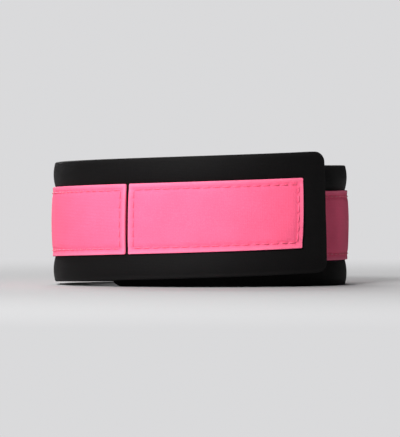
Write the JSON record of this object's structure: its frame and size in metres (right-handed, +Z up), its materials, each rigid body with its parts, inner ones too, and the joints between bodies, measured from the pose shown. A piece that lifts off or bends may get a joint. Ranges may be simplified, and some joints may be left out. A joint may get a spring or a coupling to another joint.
{
  "type": "bicep band",
  "caption": "Padded black band for the upper arm with a bright pink stripe along its outer face, closed by lapping its tab over the covered end on a hidden hook-and-loop pad.",
  "frame": {"origin": "middle of the band's footprint, on the surface that its lower edge stands on", "axes": "+Z up along the axis that the arm goes through; -Y towards the lapped side with the seam and the tab; +X the way the tab's free end points, as seen from -Y"},
  "size_m": [0.0954, 0.0988, 0.0423],
  "materials": {
    "neoprene": "matte fine knit over foam",
    "pink_stripe": "matte fine knit",
    "hook_and_loop": "matte woven tape"
  },
  "bodies": {
    "root": {"strap": "neoprene", "band_stripe": "pink_stripe", "tab_stripe": "pink_stripe", "fastening_pad": "hook_and_loop"}
  },
  "joints": []
}
